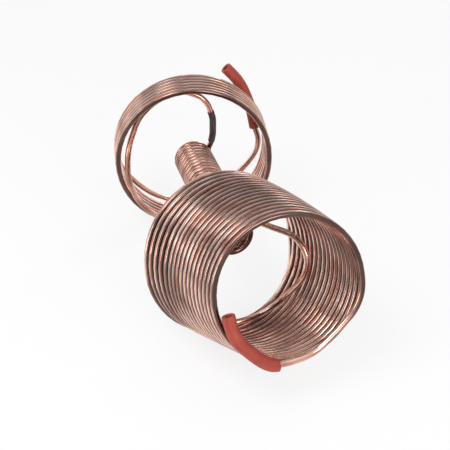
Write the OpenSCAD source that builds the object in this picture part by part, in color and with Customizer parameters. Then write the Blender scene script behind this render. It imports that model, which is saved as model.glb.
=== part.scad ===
/* [Tube] */
// Outside diameter of the soft copper tube
tube_d = 6.35; // [6:0.05:6.5]
// Wall of the copper tube
tube_wall = 0.8; // [0.6:0.1:1.2]
// Space kept between turns that are wound close
turn_gap = 0.5; // [0.45:0.05:0.7]

/* [Large coil] */
// Radius of the tube's centre line at the back turn
large_back_r = 79.6; // [78:0.1:82]
// Radius of the tube's centre line at the mouth
large_front_r = 69; // [68:0.1:72]
// Turns from the back to the mouth
large_turns = 17; // [14:1:18]
// Turns at the back that have sprung apart
large_open_turns = 5; // [3:1:6]
// Pitch of the sprung turns on the left side
large_open_pitch = 10.2; // [9:0.1:11]
// Pitch on the right side, where the whole coil fans out
large_right_pitch = 8.9; // [8:0.1:9.5]
// How far the middle turns have slipped to the right
large_bow = 2; // [0:0.1:3]
// Angle that the mouth is turned to the right
large_yaw = 21; // [19:0.5:23]
// Angle that the mouth is tipped up
large_tip = 15.3; // [14:0.1:17]
// Length of the straight stretch that the back turn stands on
foot_l = 14; // [14:1:18]
// How far that stretch reaches to the right
foot_right = 12; // [9:1:12]
// Distance from the ring coil forward to the large coil
large_reach = 194.8; // [192:0.1:198]
// Sideways place of the back turn's centre
large_side = 9.6; // [7:0.1:12]

/* [Small coil] */
// Radius of the tube's centre line
small_r = 18.2; // [16:0.1:19]
// Turns, the last of which stops at its top
small_turns = 27; // [24:1:27]
// Pitch of the turns
small_pitch = 7; // [6.95:0.05:7.1]
// Height of the coil's back end
small_height = 80; // [78:0.5:83]
// Angle that the coil is turned to the right
small_yaw = 7.4; // [6:0.1:8]
// Angle that the coil is tipped up
small_tip = 2.6; // [2:0.1:3.5]

/* [Ring coil] */
// Radius of the tube's centre line
ring_r = 83.5; // [82:0.1:85]
// Turns that lie side by side, from the first tube on the right to the last
ring_turns = 5; // [4:1:6]
// How far the outer turns stand behind the middle of the ring
ring_back = 15.4; // [15:0.1:17]
// Depth of the flats that the coils stand on
foot_flat = 0.5; // [0.4:0.05:0.55]

/* [Hoses] */
// Outside diameter of the rubber hoses
hose_d = 12.7; // [12:0.1:13]
// Space between a hose and the tube in it
hose_fit = 0.05; // [0.04:0.01:0.2]
// Straight length of bore at a hose's open end
mouth_l = 12; // [8:1:14]
// Space between the open bore and the tube that it takes
mouth_fit = 0.1; // [0.08:0.01:0.2]

/* [Splice] */
// Wall of the dark sleeve round the joint between the two tubes
splice_wall = 0.5; // [0.4:0.1:0.8]
// Space between the sleeve and the tubes in it
splice_fit = 0.05; // [0.04:0.01:0.1]
// Space between the two tube ends in the sleeve
splice_gap = 0.3; // [0.2:0.1:1]

/* [Hidden] */
$fn = 48;
// Sides of the wound tube, the free tube and the hoses, and the turn of one step along each
coil_sides = 6;
large_step = 18;
small_step = 36;
ring_step = 18;
free_sides = 12;
hose_sides = 24;
free_step = 15;
tube_r = tube_d / 2;
// Every wound tube ends in a straight piece of this length, and the free tube that goes on from it
// starts this far past its end
end_l = tube_d;
end_gap = 0.05;
close_pitch = tube_d + turn_gap;
copper = "peru";
rubber = "firebrick";

// Directions and places

function unit(v) = v / norm(v);
// The directions of a coil that is turned to the right by yaw and tipped up by tip: to its right,
// up across its mouth, and out of its mouth
function aim(yaw, tip) = let (
    right = [cos(yaw), sin(yaw), 0],
    out = [cos(tip) * sin(yaw), -cos(tip) * cos(yaw), sin(tip)])
    [right, cross(out, right), out];
function turned(f, v) = f[0] * v.x + f[1] * v.y + f[2] * v.z;

// Runs of tube. A run is a list of bends [start, direction, end], each an arc of a circle that
// leaves where the last one arrived, in the direction in which it arrived.

function arrival(a, t, b) = let (c = unit(b - a)) 2 * (t * c) * c - t;
// The two arcs that leave p along s and arrive at q along t
function two_arcs(p, s, q, t) = let (
    v = q - p,
    a = 2 * (1 - s * t),
    b = v * (s + t),
    reach = a < 1e-6 ? (v * v) / (4 * (v * t)) : (sqrt(b * b + a * (v * v)) - b) / a,
    m = (p + q + reach * (s - t)) / 2)
    [[p, s, m], [m, arrival(p, s, m), q]];
// The bends through a list of stops [place, direction]
function route(stops) = [for (i = [1 : len(stops) - 1])
    each two_arcs(stops[i - 1][0], unit(stops[i - 1][1]), stops[i][0], unit(stops[i][1]))];
// The bends of a coil through its side points, going down on the right and up on the left
function half_turns(points, up) = [for (i = [1 : len(points) - 1])
    [points[i - 1], i % 2 == 1 ? -up : up, points[i]]];
function straight(p, t, length) = [[p, unit(t), p + length * unit(t)]];
// The stop at the far end of a straight piece that starts at p along t
function past(p, t, length = end_l) = [p + length * unit(t), unit(t)];
// The stop at which a free tube goes on from a wound one, whose last side point is p
function beyond(p, t) = past(p, t, end_l + end_gap);
// Bends that are written in the frame f, moved to the shared frame
function placed(bends, at, f) = [for (s = bends)
    [at + turned(f, s[0]), turned(f, s[1]), at + turned(f, s[2])]];
up = [0, 1, 0];
// The frame of a half turn's own plane: x points back along its chord from b to a
function chord_frame(a, b) = [unit(a - b), up, cross(unit(a - b), up)];

// Large coil. Its side points lie on the right and the left in turn, from the back to the mouth.

large_aim = aim(large_yaw, large_tip);
large_start = -5;
function large_left(n) = large_start + min(n, large_open_turns) * large_open_pitch
    + max(n - large_open_turns, 0) * close_pitch;
function large_side_point(k) = let (
    n = k / 2,
    share = n / large_turns,
    radius = large_back_r + (large_front_r - large_back_r) * pow(share, 1.5),
    bow = large_bow * sin(180 * share))
    k % 2 == 0 ? [radius + bow, 0, n * large_right_pitch] : [bow - radius, 0, large_left(n)];
// The back turn stands on the ground, and its lowest stretch has settled straight there.
large_at = [large_side, -large_reach, large_back_r * cos(large_tip) + tube_r - foot_flat];
function large_spot(p) = large_at + turned(large_aim, p);
large_points = [for (k = [0 : 2 * large_turns]) large_side_point(k)];
// The first half turn, in its own plane: x points back along its chord and y points up
foot_frame = chord_frame(large_points[0], large_points[1]);
foot_width = norm(large_points[1] - large_points[0]);
foot_right_r = foot_width / 2 - foot_right;
foot_left_r = foot_width / 2 - (foot_l - foot_right);
foot_bends = [
    [[0, 0, 0], [0, -1, 0], [0, foot_right_r - large_back_r, 0]],
    [[0, foot_right_r - large_back_r, 0], [0, -1, 0], [-foot_right_r, -large_back_r, 0]],
    [[-foot_right_r, -large_back_r, 0], [-1, 0, 0], [-foot_right_r - foot_l, -large_back_r, 0]],
    [[-foot_right_r - foot_l, -large_back_r, 0], [-1, 0, 0], [-foot_width, foot_left_r - large_back_r, 0]],
    [[-foot_width, foot_left_r - large_back_r, 0], [0, 1, 0], [-foot_width, 0, 0]]];
large_bends = half_turns(large_points, up);
large_end = large_points[2 * large_turns];
// The last half turn sags a little on its way into the hose
mouth_z = large_turns * large_right_pitch;
hose_in = [large_spot([-21, 1.5 - large_front_r, mouth_z - 10]), turned(large_aim, unit([-1, 0.12, -0.05]))];
tube_out = turned(large_aim, unit([-0.66, 0.75, -0.1]));
tube_stop = large_spot([-45, 19 - large_front_r, mouth_z - 12]);
front_run = route([
    beyond(large_spot(large_end), -large_aim[1]),
    [large_spot([25, 7.5 - large_front_r, mouth_z - 7.5]), turned(large_aim, [-0.86, -0.5, -0.1])],
    hose_in]);
grip_run = concat(route([hose_in, [tube_stop - end_l * tube_out, tube_out]]),
    straight(tube_stop - end_l * tube_out, tube_out, end_l));
large_run = placed(concat(
    straight(large_points[0] + end_l * up, -up, end_l),
    placed(foot_bends, large_points[0], foot_frame),
    [for (i = [1 : len(large_bends) - 1]) large_bends[i]],
    straight(large_end, -up, end_l)), large_at, large_aim);

// Front hose, on the end of the large coil
front_mouth = large_spot([7.5 - large_front_r, -9, mouth_z - 16]);
front_out = turned(large_aim, unit([-0.1, 1, -0.07]));
front_hose_run = concat(
    grip_run,
    route([[tube_stop, tube_out], [front_mouth - mouth_l * front_out, front_out]]),
    straight(front_mouth - mouth_l * front_out, front_out, mouth_l));

// Small coil
small_at = [0, 0, small_height];
small_aim = aim(small_yaw, small_tip);
small_points = [for (k = [0 : 2 * small_turns - 1])
    [k % 2 == 0 ? small_r : -small_r, 0, k * small_pitch / 2]];
function small_spot(p) = small_at + turned(small_aim, p);
small_first = small_spot(small_points[0] + end_l * up);
small_last = small_points[2 * small_turns - 1];
// The last quarter turn, in the plane of its half turn, and its straight end
small_end_frame = chord_frame([small_r, 0, small_last.z + small_pitch / 2], small_last);
small_end_r = norm([2 * small_r, 0, small_pitch / 2]) / 2;
small_end_bends = [
    [[0, 0, 0], up, [small_end_r, small_end_r, 0]],
    [[small_end_r, small_end_r, 0], [1, 0, 0], [small_end_r + end_l, small_end_r, 0]]];
small_top = small_spot(small_last + turned(small_end_frame, [small_end_r + end_l, small_end_r, 0]));
small_out = turned(small_aim, small_end_frame[0]);
small_run = placed(concat(
    straight(small_points[0] + end_l * up, -up, end_l),
    half_turns(small_points, up),
    placed(small_end_bends, small_last, small_end_frame)), small_at, small_aim);

// Ring coil. Half a turn more comes up from the tail, over the top, to its first side point.
ring_height = ring_r + tube_r - foot_flat;
ring_at = [0, ring_back, ring_height];
ring_points = [for (k = [-1 : 2 * ring_turns])
    ring_at + [k % 2 == 0 ? ring_r : -ring_r, k * -close_pitch / 2, 0]];
ring_first = ring_points[0] - [0, 0, end_l];
ring_last = ring_points[2 * ring_turns + 1];
ring_run = concat(
    straight(ring_first, [0, 0, 1], end_l),
    half_turns(ring_points, [0, 0, -1]),
    straight(ring_last, [0, 0, -1], end_l));
// A stop on the way round the inside of the ring, as its angle, its distance in from the ring, its
// place along y, and how far it drifts outward and along y for each unit that it goes round
function in_ring(angle, inset, y, drift = 0, slope = 0) = [
    [(ring_r - inset) * cos(angle), y, ring_height + (ring_r - inset) * sin(angle)],
    [sin(angle) + drift * cos(angle), slope, drift * sin(angle) - cos(angle)]];

// Leads between the ring coil and the small coil, and the sleeve round their joint, which stands
// over the start of the small coil
sleeve_top = [small_first + [2.4, -3.6, 49.7], unit([0.28, 0, -1])];
joint = [small_first + [4.9, -2.9, 31], unit([0, 0.03, -1])];
sleeve_end = [small_first + [3.3, -1.4, 12], unit([-0.17, 0.1, -1])];
upper_sleeve_run = concat(route([sleeve_top, [joint[0] - end_l * joint[1], joint[1]]]),
    straight(joint[0] - end_l * joint[1], joint[1], end_l - splice_gap / 2));
lower_sleeve_run = concat(straight(joint[0] + splice_gap / 2 * joint[1], joint[1], end_l - splice_gap / 2),
    route([past(joint[0], joint[1]), sleeve_end]));
splice_run = concat(
    route([sleeve_top, [joint[0] - end_l * joint[1], joint[1]]]),
    straight(joint[0] - end_l * joint[1], joint[1], 2 * end_l),
    route([past(joint[0], joint[1]), sleeve_end]));
// The ring's end goes once more under the front, rises inside the left and passes back under the top.
ring_lead_run = concat(
    route([
        beyond(ring_last, [0, 0, -1]),
        in_ring(270, 1.5, -21.5, -0.03),
        in_ring(224, 4.2, -21, -0.05, 0.01),
        in_ring(197, 8.1, -19.5, -0.08, 0.06),
        in_ring(178, 10.5, -16, -0.04, 0.14),
        in_ring(160, 11.2, -9, 0.02, 0.22),
        in_ring(136.5, 9, -1.5, 0.03, 0.16),
        in_ring(101, 9.8, 4.5, -0.06, 0.03),
        in_ring(85, 14.4, 1.5, -0.3, -0.1),
        [sleeve_top[0] + [-3.2, 0.3, 8.6], [0.5, -0.02, -0.85]],
        sleeve_top]),
    upper_sleeve_run);
small_lead_run = concat(
    lower_sleeve_run,
    route([sleeve_end, [small_first + end_gap * small_aim[1], -small_aim[1]]]));

// Link from the small coil to the large coil: it comes forward into the bore, turns back along the
// wall and goes round once inside the back turns.
hug_r = large_back_r - tube_d - 2.2;
// A stop along the wall, as its angle, its depth and how much deeper it gets for each unit round
function along_wall(angle, depth, slope) = [
    large_spot([hug_r * cos(angle), hug_r * sin(angle), depth]),
    turned(large_aim, [sin(angle), -cos(angle), slope])];
link_run = route([
    past(small_top, small_out, end_gap),
    [large_spot([56.6, 14, 35]), turned(large_aim, [0.48, -0.24, 0.72])],
    [large_spot([large_back_r - 14, -2, 52.6]), turned(large_aim, [0.2, -1.03, 0.4])],
    [large_spot([55.2, -37, 49.8]), turned(large_aim, [-0.91, -0.71, -0.21])],
    along_wall(270, 17, -0.26),
    along_wall(235, 8, -0.12),
    along_wall(180, 5, -0.03),
    along_wall(130, 1, -0.07),
    [large_spot([0, large_back_r - 5, -4.5]), large_aim[0]],
    [large_spot(large_points[0] + (end_l + end_gap) * up), -large_aim[1]]]);

// Tail of the ring coil: it comes down out of the back hose and goes under the back of the ring.
back_in = [[ring_r - 9.8, 28, ring_height + 12.5], unit([0.22, -0.05, -1])];
tail_stop = [[ring_r - 16.5, 28.5, ring_height + 41.5], unit([0.32, 0, -1])];
back_grip_run = concat(straight(tail_stop[0], tail_stop[1], end_l),
    route([past(tail_stop[0], tail_stop[1]), back_in]));
tail_run = concat(
    back_grip_run,
    route([
        back_in,
        [[ring_r - 6, 26, ring_height - 4], [0, -0.05, -1]],
        in_ring(325, 13.2, 24, -0.16),
        in_ring(274, 6.7, 23, 0, -0.01),
        in_ring(218, 4.7, 21, 0.06, -0.03),
        [ring_first - [0, 0, end_gap], [0, 0, 1]]]));

// Back hose, on the end of the tail
back_mouth = [40.6, 30, 173];
back_out = unit([-0.66, 0, 0.75]);
back_hose_run = concat(
    straight(back_mouth, -back_out, mouth_l),
    route([[back_mouth - mouth_l * back_out, -back_out], tail_stop]),
    back_grip_run);

// Least gap between the turns of a run, measured on points along it
samples = 18;
function on_bend(s, share) = let (
    c = unit(s[2] - s[0]),
    n = cross(s[1], c))
    norm(n) < 1e-6 ? s[0] + (s[2] - s[0]) * share : let (
        inward = cross(unit(n), s[1]),
        radius = norm(s[2] - s[0]) / (2 * (c * inward)),
        turn = 2 * acos(s[1] * c) * share)
        s[0] + radius * ((1 - cos(turn)) * inward + sin(turn) * s[1]);
function least_gap(bends) = let (
    rows = [for (s = bends) [for (j = [0 : samples - 1]) on_bend(s, j / samples)]])
    min([for (i = [0 : len(rows) - 3], k = [i + 2 : min(i + 4, len(rows) - 1)], p = rows[i], q = rows[k])
        norm(p - q)]) - tube_d;
echo(large_coil_least_gap = least_gap(large_bends));
echo(small_coil_least_gap = least_gap(half_turns(small_points, up)));
echo(ring_coil_least_gap = least_gap(half_turns(ring_points, [0, 0, 1])));

// Turn of a bend, and its direction at a share of its length
function turn_of(s) = 2 * acos(min(1, s[1] * unit(s[2] - s[0])));
function heading(s, share) = let (n = cross(s[1], unit(s[2] - s[0])))
    norm(n) < 1e-6 ? s[1] : cos(turn_of(s) * share) * s[1] + sin(turn_of(s) * share) * cross(unit(n), s[1]);
function reversed(bends) = [for (i = [len(bends) - 1 : -1 : 0])
    [bends[i][2], -heading(bends[i], 1), bends[i][0]]];
// Stations [place, direction] along a run, at even steps in each bend
function stations(bends, step) = let (last = bends[len(bends) - 1]) concat(
    [for (s = bends) let (steps = max(1, ceil(turn_of(s) / step - 0.01))) for (j = [0 : steps - 1])
        [on_bend(s, j / steps), heading(s, j / steps)]],
    [[last[2], heading(last, 1)]]);
// A side direction at each station: away from a coil's axis, or carried along without twist
function carried(u, a, b) = unit(u - (u * b) / (1 + a * b) * (a + b));
function side_directions(st, axis) = let (t = st[0][1])
    is_undef(axis) ? [for (i = 0, u = unit(cross(t, abs(t.z) < 0.9 ? [0, 0, 1] : [1, 0, 0])); i < len(st);
        u = i + 1 < len(st) ? carried(u, st[i][1], st[i + 1][1]) : u, i = i + 1) u]
    : [for (s = st) unit(cross(s[1], axis))];
function rings(st, us, r, sides) = [for (i = [0 : len(st) - 1], m = [0 : sides - 1]) let (a = 360 * m / sides)
    st[i][0] + r * (cos(a) * us[i] + sin(a) * cross(st[i][1], us[i]))];
// Triangles round the outside of count rings, whose first point is number base
function skin(count, sides, base = 0) = [for (k = [0 : count - 2], m = [0 : sides - 1])
    let (a = base + k * sides + m, b = base + k * sides + (m + 1) % sides)
    each [[a, a + sides, b + sides], [a, b + sides, b]]];
function turned_over(faces) = [for (f = faces) [f[0], f[2], f[1]]];

// Solid tube along a run
module rod(bends, r, sides, step, axis) {
    st = stations(bends, step);
    end = (len(st) - 1) * sides;
    polyhedron(
        points = rings(st, side_directions(st, axis), r, sides),
        faces = concat(
            skin(len(st), sides),
            [for (m = [1 : sides - 2]) each [[0, m, m + 1], [end, end + m + 1, end + m]]]));
}

// Tube along a run with its bore
module pipe(bends, outer, bore, sides) {
    st = stations(bends, free_step);
    us = side_directions(st);
    base = len(st) * sides;
    end = base - sides;
    polyhedron(
        points = concat(rings(st, us, outer, sides), rings(st, us, bore, sides)),
        faces = concat(
            skin(len(st), sides),
            turned_over(skin(len(st), sides, base)),
            [for (a = [0 : sides - 1]) let (b = (a + 1) % sides)
                each [[a, b, base + b], [a, base + b, base + a],
                    [end + a, base + end + a, base + end + b], [end + a, base + end + b, end + b]]]));
}

// Wound tube, with as much metal in its section as a round rod of the same diameter
module wound(bends, step, axis) {
    rod(bends, tube_r * sqrt(2 * PI / (coil_sides * sin(360 / coil_sides))), coil_sides, step, axis);
}

module free_tube(bends) {
    pipe(bends, tube_r, tube_r - tube_wall, free_sides);
}

// Hose along a run that starts at the tube's entry and ends at mouth, where its open bore is round
module hose(bends, mouth, out) {
    spare = 1;
    turn = [0, acos(out.z), atan2(out.y, out.x)];
    held = [for (i = [0 : len(bends) - 2]) bends[i]];
    difference() {
        rod(bends, hose_d / 2, hose_sides, free_step);
        rod(concat(
            straight(bends[0][0] - spare * bends[0][1], bends[0][1], spare),
            held,
            straight(mouth - mouth_l * out, out, spare)), tube_r + hose_fit, hose_sides, free_step);
        translate(mouth - mouth_l * out) rotate(turn) cylinder(r = tube_r + mouth_fit, h = mouth_l + spare);
    }
}

// What reaches below the ground is cut away flat
module standing(span, place) {
    difference() {
        children();
        translate([place.x - span, place.y - span, -span]) cube([2 * span, 2 * span, span]);
    }
}

module large_coil() {
    color(copper) standing(2 * large_back_r, large_at) wound(large_run, large_step, large_aim[2]);
}

module front_tube() {
    color(copper) free_tube(concat(front_run, grip_run));
}

module link_tube() {
    color(copper) free_tube(link_run);
}

module small_coil() {
    color(copper) wound(small_run, small_step, small_aim[2]);
}

module small_lead() {
    color(copper) free_tube(small_lead_run);
}

module splice_sleeve() {
    color("dimgray") pipe(splice_run, tube_r + splice_fit + splice_wall, tube_r + splice_fit, hose_sides);
}

module ring_lead() {
    color(copper) free_tube(ring_lead_run);
}

module ring_coil() {
    color(copper) standing(2 * ring_r, ring_at) wound(ring_run, ring_step, [0, -1, 0]);
}

module tail_tube() {
    color(copper) free_tube(tail_run);
}

module front_hose() {
    color(rubber) hose(front_hose_run, front_mouth, front_out);
}

module back_hose() {
    color(rubber) hose(reversed(back_hose_run), back_mouth, back_out);
}

large_coil();
front_tube();
link_tube();
small_coil();
small_lead();
splice_sleeve();
ring_lead();
ring_coil();
tail_tube();
front_hose();
back_hose();
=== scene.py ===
import math

import bmesh
import bpy
from mathutils import Matrix, Vector


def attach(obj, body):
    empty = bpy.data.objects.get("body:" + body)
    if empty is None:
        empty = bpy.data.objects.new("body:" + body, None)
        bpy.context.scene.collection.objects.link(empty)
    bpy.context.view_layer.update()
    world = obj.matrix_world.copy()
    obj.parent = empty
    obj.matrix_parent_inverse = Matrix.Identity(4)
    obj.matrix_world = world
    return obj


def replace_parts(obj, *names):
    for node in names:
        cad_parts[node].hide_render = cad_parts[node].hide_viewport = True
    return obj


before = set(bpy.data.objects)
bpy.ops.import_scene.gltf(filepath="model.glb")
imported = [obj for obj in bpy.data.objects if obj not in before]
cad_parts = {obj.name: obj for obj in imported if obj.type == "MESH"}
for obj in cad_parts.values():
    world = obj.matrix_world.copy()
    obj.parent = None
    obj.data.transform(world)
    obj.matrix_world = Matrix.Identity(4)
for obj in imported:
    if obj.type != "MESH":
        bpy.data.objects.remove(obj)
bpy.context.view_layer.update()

# The ground and the light. The chiller stands on a plain white surface in soft light from above, from
# both sides and from behind; the surface is as white as the air behind it and keeps a faint shadow.
floor_half = 6.0
floor_mesh = bmesh.new()
bmesh.ops.create_grid(floor_mesh, x_segments=1, y_segments=1, size=floor_half)
floor_data = bpy.data.meshes.new("floor")
floor_mesh.to_mesh(floor_data)
floor_mesh.free()
floor = bpy.data.objects.new("floor", floor_data)
bpy.context.scene.collection.objects.link(floor)


class Shade:
    """A value in a material. Sums and products of it add the nodes that work them out."""

    def __init__(self, tree, socket=None):
        self.tree = tree
        self.socket = socket

    def node(self, kind, output=None, sockets=None, stops=None, **settings):
        made = self.tree.nodes.new("ShaderNode" + kind)
        for name, value in settings.items():
            setattr(made, name, value)
        for number, (place, colour) in enumerate(stops or []):
            ramp = made.color_ramp.elements
            stop = ramp[number] if number < 2 else ramp.new(place)
            stop.position = place
            stop.color = (*colour, 1)
        for name, value in (sockets or {}).items():
            socket = next(s for s in made.inputs if name in (s.identifier, s.name))
            if isinstance(value, Shade):
                self.tree.links.new(value.socket, socket)
            else:
                socket.default_value = value
        if output is None:
            return made
        return Shade(self.tree, next(s for s in made.outputs if output in (s.identifier, s.name)))

    def sum_of(self, operation, first, second):
        return self.node("Math", "Value", {"Value": first, "Value_001": second}, operation=operation)

    def __add__(self, other):
        return self.sum_of("ADD", self, other)

    __radd__ = __add__

    def __sub__(self, other):
        return self.sum_of("SUBTRACT", self, other)

    def __rsub__(self, other):
        return self.sum_of("SUBTRACT", other, self)

    def __mul__(self, other):
        return self.sum_of("MULTIPLY", self, other)

    __rmul__ = __mul__


def bare_material(name):
    material = bpy.data.materials.new(name)
    material.use_nodes = True
    material.node_tree.nodes.clear()
    return material, Shade(material.node_tree)


def seen_rays(shade):
    """One for a ray that shows the white backdrop, straight or in a reflection, and nothing for light."""
    path = shade.node("LightPath")
    camera, glossy, through = (Shade(shade.tree, path.outputs[name])
        for name in ("Is Camera Ray", "Is Glossy Ray", "Is Transmission Ray"))
    return camera + glossy + through


white = (1, 1, 1, 1)
ground_white = (0.9, 0.9, 0.9, 1)
ground_glow = 0.8
paper, shade = bare_material("white ground")
lit = shade.node("BsdfDiffuse", "BSDF", {"Color": ground_white})
glow = shade.node("Emission", "Emission", {"Color": white, "Strength": 1.0})
surface = shade.node("MixShader", "Shader",
    {"Fac": seen_rays(shade) * ground_glow, "Shader": lit, "Shader_001": glow})
shade.node("OutputMaterial", sockets={"Surface": surface})
floor.data.materials.append(paper)

world = bpy.data.worlds.new("studio")
world.use_nodes = True
world.node_tree.nodes.clear()
air = Shade(world.node_tree)
air_light = 0.55
background = air.node("Background", "Background",
    {"Color": white, "Strength": seen_rays(air) * (1 - air_light) + air_light})
air.node("OutputWorld", sockets={"Surface": background})
bpy.context.scene.world = world

lit_middle = Vector((0, -0.17, 0.08))
for name, place, power, width, height in [
    ("top light", (-0.6, -0.8, 1.4), 9, 0.75, 0.55),
    ("left light", (-1.6, -0.9, 0.6), 7, 0.40, 0.9),
    ("right light", (0.5, -1.9, 0.9), 14, 0.60, 0.9),
    ("back light", (0.9, 1.2, 1.2), 3, 0.50, 0.45)]:
    lamp = bpy.data.lights.new(name, "AREA")
    lamp.shape = "RECTANGLE"
    lamp.size = width
    lamp.size_y = height
    lamp.energy = power
    light = bpy.data.objects.new(name, lamp)
    light.location = place
    light.rotation_euler = (lit_middle - Vector(place)).to_track_quat("-Z", "Y").to_euler()
    bpy.context.scene.collection.objects.link(light)

# The view stands in front of the wide coil's mouth, a little to its left, and looks down on it.
lens = bpy.data.cameras.new("view")
lens.sensor_width = 36
lens.lens = 104
view = bpy.data.objects.new("view", lens)
view.location = (-0.1103, -1.2687, 0.7853)
view.rotation_euler = (math.radians(58), 0, math.radians(-6.6))
bpy.context.scene.collection.objects.link(view)
bpy.context.scene.camera = view
bpy.context.scene.view_settings.view_transform = "Standard"

# Ring coil: five turns of soft copper tube side by side, standing on edge, and half a turn more from
# the tail. The metal has draw lines, bright patches and brown handling marks. Light is painted into it
# too: a painted highlight on the crests of the turns, painted shade in the grooves between them, and
# painted dark reflections in bands and on top.
mm = 0.001
tube_r = 3.175 * mm
close_pitch = 6.85 * mm
end_l = 6.35 * mm
foot_flat = 0.5 * mm
ring_r = 83.5 * mm
ring_turns = 5
ring_height = ring_r + tube_r - foot_flat
ring_at = Vector((0, 15.4 * mm, ring_height))


def at(x, y, z):
    return Vector((x, y, z)) * mm


same_heading = 1e-6
nearly_straight = 1e-4
step_slack = 0.01


def arrival(start, along, end):
    """The heading at the end of an arc that leaves start along a heading and passes through end."""
    chord = (end - start).normalized()
    return 2 * along.dot(chord) * chord - along


def two_arcs(start, leaving, end, arriving):
    """Two arcs that meet smoothly: each bend is its start, its heading there and its end."""
    gap = end - start
    a = 2 * (1 - leaving.dot(arriving))
    b = gap.dot(leaving + arriving)
    if a < same_heading:
        reach = gap.dot(gap) / (4 * gap.dot(arriving))
    else:
        reach = (math.sqrt(b * b + a * gap.dot(gap)) - b) / a
    middle = (start + end + reach * (leaving - arriving)) / 2
    return [(start, leaving, middle), (middle, arrival(start, leaving, middle), end)]


def route(*stops):
    bends = []
    for (start, leaving), (end, arriving) in zip(stops, stops[1:]):
        leaving, arriving = Vector(leaving).normalized(), Vector(arriving).normalized()
        bends += two_arcs(Vector(start), leaving, Vector(end), arriving)
    return bends


def straight(start, along, length):
    along = Vector(along).normalized()
    return [(start, along, start + length * along)]


def half_turns(points, up):
    return [(a, -up if k % 2 == 0 else up, b) for k, (a, b) in enumerate(zip(points, points[1:]))]


# The share of the painted groove shade that a free run loses away from its joined end.
groove_fade_share = 0.45
fade_l = 60 * mm


def sweep(name, bends, radius, sides=20, step=7.5, capped=True, wound_along=None, joined=None):
    """A ring of points drawn along the bends: each bend spins it, and each straight stretch extrudes it.
    Where the tube would dip into the ground it is worn flat. The painted shade of a winding lies in the
    grooves between its turns and fades along a free run, from the end that is joined to the winding."""
    bm = bmesh.new()
    run = bm.verts.layers.float_vector.new("run")
    groove = bm.verts.layers.float.new("groove")
    start, along, _ = bends[0]
    side = along.orthogonal().normalized()
    axes = Matrix((side, along.cross(side), along)).transposed().to_4x4()
    ring = bmesh.ops.create_circle(bm, segments=sides, radius=radius,
        matrix=Matrix.Translation(start) @ axes)["verts"]
    edges = list(bm.edges)
    first_edges = edges
    length = 0.0

    def mark(verts, centre, heading):
        for v in verts:
            off = (v.co - centre) / radius
            v[run] = (length, off.dot(side), off.dot(heading.cross(side)))
            v[groove] = abs(off.dot(wound_along)) if wound_along else 0.0

    mark(ring, start, along)
    for start, along, end in bends:
        chord = end - start
        bent = along.cross(chord.normalized())
        if bent.length < nearly_straight:
            made = bmesh.ops.extrude_edge_only(bm, edges=edges)["geom"]
            ring = [g for g in made if isinstance(g, bmesh.types.BMVert)]
            edges = [g for g in made if isinstance(g, bmesh.types.BMEdge) and all(v in ring for v in g.verts)]
            bmesh.ops.translate(bm, verts=ring, vec=chord)
            length += chord.length
            mark(ring, end, along)
            continue
        inward = bent.normalized().cross(along)
        axis = along.cross(inward)
        arc_r = chord.length / (2 * chord.normalized().dot(inward))
        turn = 2 * math.acos(max(-1.0, min(1.0, along.dot(chord.normalized()))))
        centre = start + arc_r * inward
        steps = max(1, math.ceil(math.degrees(turn) / step - step_slack))
        by = Matrix.Rotation(turn / steps, 3, axis)
        place = start
        for _ in range(steps):
            made = bmesh.ops.spin(bm, geom=ring + edges, cent=centre, axis=axis, angle=turn / steps, steps=1,
                use_duplicate=False)["geom_last"]
            ring = [g for g in made if isinstance(g, bmesh.types.BMVert)]
            edges = [g for g in made if isinstance(g, bmesh.types.BMEdge)]
            place = centre + by @ (place - centre)
            along = by @ along
            side = by @ side
            length += arc_r * turn / steps
            mark(ring, place, along)
    for v in bm.verts:
        v.co.z = max(v.co.z, 0.0)
        if joined:
            away = v[run].x if joined == "start" else length - v[run].x
            v[groove] *= 1 - groove_fade_share * min(1.0, away / fade_l)
    ends = first_edges + edges
    if capped:
        bmesh.ops.edgenet_fill(bm, edges=first_edges)
        bmesh.ops.edgenet_fill(bm, edges=edges)
    bmesh.ops.recalc_face_normals(bm, faces=bm.faces)
    for face in bm.faces:
        face.smooth = True
    for edge in ends:
        edge.smooth = False
    data = bpy.data.meshes.new(name)
    bm.to_mesh(data)
    bm.free()
    piece = bpy.data.objects.new(name, data)
    bpy.context.scene.collection.objects.link(piece)
    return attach(piece, "root")


def speckle(shade, coords, stretch, detail, roughness=0.5, scale=1.0):
    """Soft noise, finer along an axis the more it is stretched there."""
    placed = shade.node("Mapping", "Vector", {"Vector": coords, "Scale": stretch})
    return shade.node("TexNoise", "Fac",
        {"Vector": placed, "Scale": scale, "Detail": detail, "Roughness": roughness})


def rise(shade, value, low, high):
    """Nothing up to low, one from high on, and an even slope between them."""
    return shade.node("MapRange", "Result", {"Value": value, "From Min": low, "From Max": high})


brown_copper = (0.45, 0.20, 0.145)
plain_copper = (0.71, 0.365, 0.275)
pale_copper = (0.90, 0.58, 0.47)
# The next colour is a painted highlight for the crests of the turns.
highlight_copper = (0.98, 0.83, 0.76, 1)
# This dark colour serves real handling marks and painted shade alike.
grime_and_shade = (0.062, 0.040, 0.037, 1)
draw_depth = 0.2 * mm
# Painted dark reflection on the tops of the coils: it starts at this height and is full at the next.
dark_top_from = 110 * mm
dark_top_to = 170 * mm

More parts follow.
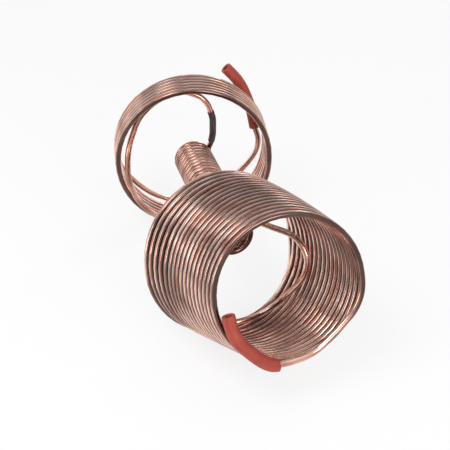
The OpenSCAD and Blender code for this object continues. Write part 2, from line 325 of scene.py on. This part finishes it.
copper, shade = bare_material("drawn copper")
run = shade.node("Attribute", "Vector", attribute_name="run")
between = shade.node("Attribute", "Fac", attribute_name="groove")
spot = shade.node("TexCoord")
place = Shade(shade.tree, spot.outputs["Object"])
facing = Shade(shade.tree, spot.outputs["Normal"])
patches = speckle(shade, place, (26, 115, 26), detail=3.0, roughness=0.55)
lines = speckle(shade, run, (4, 5, 5), detail=2.0, roughness=0.6, scale=1.3)
marks = speckle(shade, place, (90, 260, 90), detail=4.0, roughness=0.6)
bands = speckle(shade, place, (30, 7, 30), detail=1.0)
metal = shade.node("ValToRGB", "Color", {"Fac": patches * 0.6 + lines * 0.4}, stops=[
    (0.36, brown_copper), (0.62, pale_copper), (0.50, plain_copper)])
# Painted highlight: a near-white line along the crest of each turn, in patches.
crest_highlight = rise(shade, 1 - between, 0.55, 0.8) * rise(shade, patches, 0.38, 0.52)
metal = shade.node("Mix", "Result_Color",
    {"Factor_Float": crest_highlight * 0.75, "A_Color": metal, "B_Color": highlight_copper}, data_type="RGBA")
handled = rise(shade, marks, 0.56, 0.76)
# Painted reflection: random dark bands that stand in for dark reflections in the copper.
dark_band_reflection = rise(shade, bands + patches * 0.3, 0.64, 0.78)
# Painted shade: darker towards the grooves between the turns.
groove_shade = rise(shade, between, 0.45, 0.82)
height = shade.node("SeparateXYZ", "Z", {"Vector": place})
upward = shade.node("SeparateXYZ", "Z", {"Vector": facing})
# Painted dark reflection on upward-facing surfaces high on the coils.
dark_top = rise(shade, height, dark_top_from, dark_top_to) * rise(shade, upward, 0.1, 0.9)
# Brown handling marks are real; the rest of this darkening is painted shade and painted dark reflection.
marks_and_shade = 1 - (1 - handled * 0.3) * (1 - dark_band_reflection * 0.5) * (1 - groove_shade * 0.9) * (1 - dark_top * 0.5)
colour = shade.node("Mix", "Result_Color",
    {"Factor_Float": marks_and_shade, "A_Color": metal, "B_Color": grime_and_shade}, data_type="RGBA")
rough = patches * 0.08 + lines * 0.06 + handled * 0.08 + 0.08
relief = shade.node("Bump", "Normal", {"Strength": 0.035, "Distance": draw_depth, "Height": lines})
skin = shade.node("BsdfPrincipled", "BSDF", {"Base Color": colour, "Metallic": 1.0, "Roughness": rough,
    "Normal": relief})
shade.node("OutputMaterial", sockets={"Surface": skin})

ring_points = [ring_at + Vector((ring_r if k % 2 == 0 else -ring_r, -k * close_pitch / 2, 0))
    for k in range(-1, 2 * ring_turns + 1)]
z_up = Vector((0, 0, 1))
ring_first = ring_points[0] - end_l * z_up
ring_last = ring_points[-1] - end_l * z_up
ring_out = Vector((0, -1, 0))
ring_coil = sweep("ring_winding", straight(ring_first, z_up, end_l) + half_turns(ring_points, -z_up)
    + straight(ring_points[-1], -z_up, end_l), tube_r, wound_along=ring_out)
ring_coil.data.materials.append(copper)
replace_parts(ring_coil, "ring_coil")

# Tail of the ring coil: the same tube comes down out of the back hose and goes under the back of the
# ring to the left side, where the turns take over.
hose_end = (at(67, 28.5, 127.675), Vector((0.32, 0, -1)).normalized())
hose_entry = (at(73.7, 28, 98.675), Vector((0.22, -0.05, -1)).normalized())
after_stop = (hose_end[0] + end_l * hose_end[1], hose_end[1])
back_grip = straight(hose_end[0], hose_end[1], end_l) + route(after_stop, hose_entry)


def in_ring(angle, inset, y, drift=0, slope=0):
    """A stop inside the ring: its angle, its distance in from it, its y, and how far it drifts off."""
    c, s = math.cos(math.radians(angle)), math.sin(math.radians(angle))
    reach = ring_r - inset * mm
    return Vector((reach * c, y * mm, ring_height + reach * s)), Vector((s + drift * c, slope, drift * s - c))


tail = back_grip + route(
    hose_entry,
    (at(77.5, 26, 82.175), (0, -0.05, -1)),
    in_ring(325, 13.2, 24, -0.16),
    in_ring(274, 6.7, 23, 0, -0.01),
    in_ring(218, 4.7, 21, 0.06, -0.03),
    (ring_first, z_up))
tail_tube = sweep("tail_run", tail, tube_r, wound_along=ring_out, joined="end")
tail_tube.data.materials.append(copper)
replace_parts(tail_tube, "tail_tube")

# Back hose: a short length of thick red rubber hose, pushed over the end of the tail. It grips the
# tube by its own stretch, and its far end stands open.
hose_r = 6.35 * mm
grip_r = 3.225 * mm
mouth_l = 12 * mm
rim_r = 0.7 * mm
rim_angle = 50
grain_depth = 0.2 * mm
deep_red = (0.29, 0.038, 0.025)
worn_red = (0.41, 0.070, 0.045)

rubber, shade = bare_material("red rubber")
run = shade.node("Attribute", "Vector", attribute_name="run")
dust = speckle(shade, run, (60, 1.5, 1.5), detail=6.0, roughness=0.7)
grain = speckle(shade, run, (900, 14, 14), detail=2.0)
red = shade.node("ValToRGB", "Color", {"Fac": dust}, stops=[(0.36, deep_red), (0.68, worn_red)])
relief = shade.node("Bump", "Normal", {"Strength": 0.25, "Distance": grain_depth, "Height": grain})
skin = shade.node("BsdfPrincipled", "BSDF", {"Base Color": red, "Roughness": dust * 0.2 + 0.36,
    "Specular IOR Level": 0.3, "Normal": relief})
shade.node("OutputMaterial", sockets={"Surface": skin})


def hose(name, bends, node):
    piece = sweep(name, bends, hose_r, sides=32, capped=False)
    wall = piece.modifiers.new("wall", "SOLIDIFY")
    wall.thickness = hose_r - grip_r
    wall.offset = -1
    rim = piece.modifiers.new("rim", "BEVEL")
    rim.width = rim_r
    rim.segments = 3
    rim.limit_method = "ANGLE"
    rim.angle_limit = math.radians(rim_angle)
    piece.data.materials.append(rubber)
    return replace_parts(piece, node)


back_mouth = at(40.6, 30, 173)
back_out = Vector((-0.66, 0, 0.75)).normalized()
hose("red_back_hose", straight(back_mouth, -back_out, mouth_l)
    + route((back_mouth - mouth_l * back_out, -back_out), hose_end) + back_grip, "back_hose")

# Splice: the ring's tube and the long tube meet end to end under a tight dark sleeve, which hangs above
# the back end of the narrow coil. The ring's end reaches it round the inside of the ring.
splice_foot = at(18.0113, 2.62974, 86.3435)
sleeve_top = (splice_foot + at(2.4, -3.6, 49.7), Vector((0.28, 0, -1)).normalized())
joint = splice_foot + at(4.9, -2.9, 31)
joint_down = Vector((0, 0.03, -1)).normalized()
sleeve_end = (splice_foot + at(3.3, -1.4, 12), Vector((-0.17, 0.1, -1)).normalized())
above = (joint - end_l * joint_down, joint_down)
below = (joint + end_l * joint_down, joint_down)
ring_lead = sweep("ring_lead_run", route(
    (ring_last, -z_up),
    in_ring(270, 1.5, -21.5, -0.03),
    in_ring(224, 4.2, -21, -0.05, 0.01),
    in_ring(197, 8.1, -19.5, -0.08, 0.06),
    in_ring(178, 10.5, -16, -0.04, 0.14),
    in_ring(160, 11.2, -9, 0.02, 0.22),
    in_ring(136.5, 9, -1.5, 0.03, 0.16),
    in_ring(101, 9.8, 4.5, -0.06, 0.03),
    in_ring(85, 14.4, 1.5, -0.3, -0.1),
    (sleeve_top[0] + at(-3.2, 0.3, 8.6), (0.5, -0.02, -0.85)),
    sleeve_top, above) + straight(above[0], joint_down, end_l), tube_r,
    wound_along=ring_out, joined="start")
ring_lead.data.materials.append(copper)
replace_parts(ring_lead, "ring_lead")

sleeve_wall = 0.5 * mm
tar_black = (0.018, 0.011, 0.010)
tar_brown = (0.065, 0.038, 0.032)
wrap, shade = bare_material("dark sleeve")
run = shade.node("Attribute", "Vector", attribute_name="run")
worn = speckle(shade, run, (160, 1.2, 1.2), detail=4.0)
tar = shade.node("ValToRGB", "Color", {"Fac": worn}, stops=[(0.35, tar_black), (0.70, tar_brown)])
skin = shade.node("BsdfPrincipled", "BSDF", {"Base Color": tar, "Roughness": worn * 0.25 + 0.28})
shade.node("OutputMaterial", sockets={"Surface": skin})
sleeve = sweep("dark_sleeve", route(sleeve_top, above) + straight(above[0], joint_down, 2 * end_l)
    + route(below, sleeve_end), grip_r + sleeve_wall, capped=False)
wall = sleeve.modifiers.new("wall", "SOLIDIFY")
wall.thickness = sleeve_wall
wall.offset = -1
sleeve.data.materials.append(wrap)
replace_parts(sleeve, "splice_sleeve")

# Narrow coil: twenty-seven turns wound tight on a mandrel and then let go, so a hair of air shows
# between them. It carries nothing, and the tube runs on from its front end as the link.
small_r = 18.2 * mm
small_turns = 27
small_pitch = 7 * mm
small_at = at(0, 0, 80)


def aim(yaw, tip):
    yaw, tip = math.radians(yaw), math.radians(tip)
    right = Vector((math.cos(yaw), math.sin(yaw), 0))
    out = Vector((math.cos(tip) * math.sin(yaw), -math.cos(tip) * math.cos(yaw), math.sin(tip)))
    return right, out.cross(right), out


def turned(axes, x, y, z):
    return axes[0] * x + axes[1] * y + axes[2] * z


small_aim = aim(7.4, 2.6)
small_points = [small_at + turned(small_aim, small_r if k % 2 == 0 else -small_r, 0, k * small_pitch / 2)
    for k in range(2 * small_turns)]
small_first = small_points[0] + end_l * small_aim[1]
next_right = small_points[-2] + small_pitch * small_aim[2]
chord = (next_right - small_points[-1]).normalized()
quarter_r = (next_right - small_points[-1]).length / 2
small_crest = small_points[-1] + quarter_r * (small_aim[1] + chord)
small_last = small_crest + end_l * chord
small_coil = sweep("narrow_winding", straight(small_first, -small_aim[1], end_l)
    + half_turns(small_points, small_aim[1])
    + [(small_points[-1], small_aim[1], small_crest)]
    + straight(small_crest, chord, end_l), tube_r, step=11.25, wound_along=small_aim[2])
small_coil.data.materials.append(copper)
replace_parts(small_coil, "small_coil")

butt_gap = 0.15 * mm
small_lead = sweep("narrow_lead", straight(joint + butt_gap * joint_down, joint_down, end_l - butt_gap)
    + route(below, sleeve_end, (small_first, -small_aim[1])), tube_r,
    wound_along=small_aim[2], joined="end")
small_lead.data.materials.append(copper)
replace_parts(small_lead, "small_lead")

# Wide coil: seventeen turns wound by hand on a pot, close at the front and sprung apart at the back,
# where the first turn carries the weight and has settled straight for a finger's width.
back_r = 79.6 * mm
front_r = 69 * mm
wide_turns = 17
open_turns = 5
open_pitch = 10.2 * mm
right_pitch = 8.9 * mm
wide_start = -5 * mm
wide_bow = 2 * mm
foot_l = 14 * mm
foot_right = 12 * mm
wide_yaw = 21
wide_tip = 15.3
wide_aim = aim(wide_yaw, wide_tip)
wide_at = Vector((9.6 * mm, -194.8 * mm, back_r * math.cos(math.radians(wide_tip)) + tube_r - foot_flat))


def wide_spot(x, y, z):
    return wide_at + turned(wide_aim, x, y, z)


def wide_side_point(k):
    """The tube's centre where half turn k starts: even ones on the right side, odd ones on the left."""
    n = k / 2
    share = n / wide_turns
    radius = back_r + (front_r - back_r) * share ** 1.5
    bow = wide_bow * math.sin(math.pi * share)
    if k % 2 == 0:
        return wide_spot(radius + bow, 0, n * right_pitch)
    return wide_spot(bow - radius, 0,
        wide_start + min(n, open_turns) * open_pitch + max(n - open_turns, 0) * close_pitch)


wide_points = [wide_side_point(k) for k in range(2 * wide_turns + 1)]
wide_up = wide_aim[1]
wide_first = wide_points[0] + end_l * wide_up
wide_last = wide_points[-1] - end_l * wide_up
foot_chord = (wide_points[1] - wide_points[0]).normalized()
foot_width = (wide_points[1] - wide_points[0]).length


def foot_spot(along, down):
    return wide_points[0] + along * foot_chord - down * wide_up


right_corner = foot_width / 2 - foot_right
left_corner = foot_width / 2 - (foot_l - foot_right)
foot = (straight(wide_points[0], -wide_up, back_r - right_corner)
    + [(foot_spot(0, back_r - right_corner), -wide_up, foot_spot(right_corner, back_r))]
    + straight(foot_spot(right_corner, back_r), foot_chord, foot_l)
    + [(foot_spot(right_corner + foot_l, back_r), foot_chord, foot_spot(foot_width, back_r - left_corner))]
    + straight(foot_spot(foot_width, back_r - left_corner), wide_up, back_r - left_corner))
wide_coil = sweep("wide_winding", straight(wide_first, -wide_up, end_l) + foot
    + half_turns(wide_points, wide_up)[1:] + straight(wide_points[-1], -wide_up, end_l), tube_r,
    wound_along=wide_aim[2])
wide_coil.data.materials.append(copper)
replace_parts(wide_coil, "large_coil")

# Link: the free stretch between the two coils. It comes forward off the narrow coil, turns back
# along the wall of the wide coil and lies once round inside its back turns.
hug_r = back_r - 8.55 * mm


def along_wall(angle, depth, slope):
    """A stop on the coil's inner wall: its angle, its depth in mm and how fast it goes deeper."""
    c, s = math.cos(math.radians(angle)), math.sin(math.radians(angle))
    return wide_spot(hug_r * c, hug_r * s, depth * mm), turned(wide_aim, s, -c, slope)


link = sweep("link_run", route(
    (small_last, chord),
    (wide_spot(56.6 * mm, 14 * mm, 35 * mm), turned(wide_aim, 0.48, -0.24, 0.72)),
    (wide_spot(back_r - 14 * mm, -2 * mm, 52.6 * mm), turned(wide_aim, 0.2, -1.03, 0.4)),
    (wide_spot(55.2 * mm, -37 * mm, 49.8 * mm), turned(wide_aim, -0.91, -0.71, -0.21)),
    along_wall(270, 17, -0.26),
    along_wall(235, 8, -0.12),
    along_wall(180, 5, -0.03),
    along_wall(130, 1, -0.07),
    (wide_spot(0, back_r - 5 * mm, -4.5 * mm), wide_aim[0]),
    (wide_first, -wide_up)), tube_r, wound_along=wide_aim[2], joined="start")
link.data.materials.append(copper)
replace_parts(link, "link_tube")

# Front end of the tube and the front hose: the last half turn sags a little, runs under the mouth
# and up into a second length of the same red hose, which stands open like the first.
mouth_z = wide_turns * right_pitch
front_entry = (wide_spot(-21 * mm, 1.5 * mm - front_r, mouth_z - 10 * mm),
    turned(wide_aim, -1, 0.12, -0.05).normalized())
tube_out = turned(wide_aim, -0.66, 0.75, -0.1).normalized()
tube_stop = wide_spot(-45 * mm, 19 * mm - front_r, mouth_z - 12 * mm)
front_grip = (route(front_entry, (tube_stop - end_l * tube_out, tube_out))
    + straight(tube_stop - end_l * tube_out, tube_out, end_l))
front_tube = sweep("front_run", route(
    (wide_last, -wide_up),
    (wide_spot(25 * mm, 7.5 * mm - front_r, mouth_z - 7.5 * mm), turned(wide_aim, -0.86, -0.5, -0.1)),
    front_entry) + front_grip, tube_r, wound_along=wide_aim[2], joined="start")
front_tube.data.materials.append(copper)
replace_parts(front_tube, "front_tube")

front_mouth = wide_spot(7.5 * mm - front_r, -9 * mm, mouth_z - 16 * mm)
front_out = turned(wide_aim, -0.1, 1, -0.07).normalized()
hose("red_front_hose", front_grip
    + route((tube_stop, tube_out), (front_mouth - mouth_l * front_out, front_out))
    + straight(front_mouth - mouth_l * front_out, front_out, mouth_l), "front_hose")
